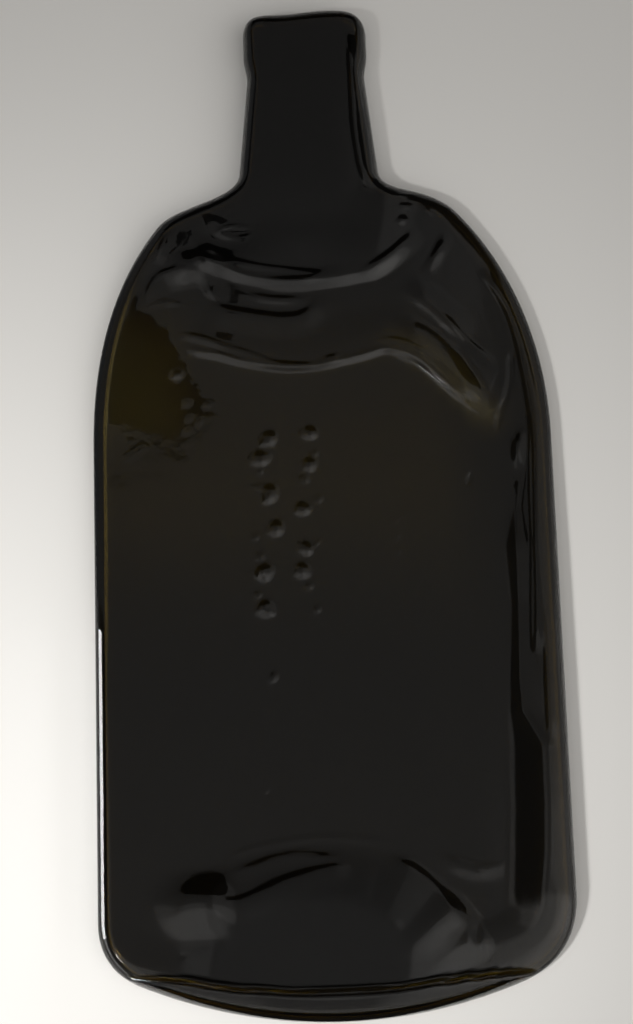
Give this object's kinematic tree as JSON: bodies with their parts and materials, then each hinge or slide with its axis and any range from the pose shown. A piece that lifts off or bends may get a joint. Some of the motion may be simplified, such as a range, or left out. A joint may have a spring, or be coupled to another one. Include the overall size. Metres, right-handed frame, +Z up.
{
  "type": "flattened glass bottle tray",
  "caption": "Dark olive glass bottle slumped flat in a kiln: a shallow tray with rounded rims, a folded base disc, ringed shoulder folds and a flat neck with a slit mouth.",
  "frame": {"origin": "under the middle of the tray, on the surface that it lies on", "axes": "+Y along the bottle towards its mouth, +X across it to the right seen from above, +Z up out of the tray's hollow side"},
  "size_m": [0.1396, 0.3134, 0.014],
  "materials": {
    "bottle_glass": "fire-polished, glossy, very dark olive that glows green-brown where it is thin"
  },
  "bodies": {
    "root": {"upper_half": "bottle_glass", "lower_half": "bottle_glass", "base": "bottle_glass", "lip": "bottle_glass"}
  },
  "joints": []
}
